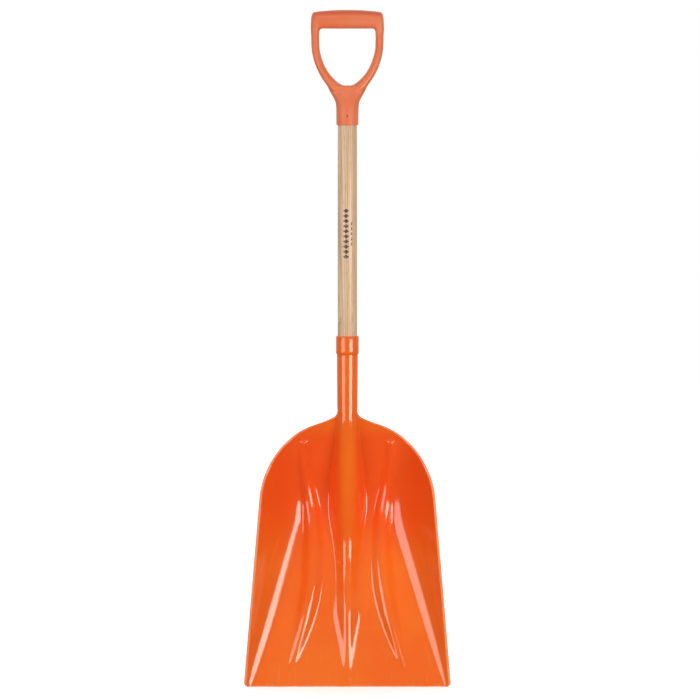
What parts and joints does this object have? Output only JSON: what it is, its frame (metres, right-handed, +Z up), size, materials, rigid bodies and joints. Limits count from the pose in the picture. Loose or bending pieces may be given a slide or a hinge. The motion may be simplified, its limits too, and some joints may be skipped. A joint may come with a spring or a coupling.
{
  "type": "scoop shovel",
  "caption": "Moulded plastic scoop shovel: deep dished blade with raised ribs and a socket, a turned ash shaft and a plastic D-grip.",
  "frame": {"origin": "middle of the underside of the grip's bar, where the shovel hangs on a peg or in the hand", "axes": "+Z up along the shaft from the scoop to the grip, the hollow side of the scoop faces -Y, +X to the right seen from the hollow side"},
  "size_m": [0.3728, 0.0861, 1.2193],
  "materials": {
    "scoop_plastic": "glossy moulded orange",
    "ash": "sanded ash under a thin clear coat",
    "grip_plastic": "finely textured salmon orange",
    "steel": "dull zinc plated"
  },
  "bodies": {
    "root": {"scoop_head": "scoop_plastic", "shaft": "ash", "d_grip": "grip_plastic", "grip_pin": "steel", "head_screw_upper": "steel", "head_screw_lower": "steel"}
  },
  "joints": []
}
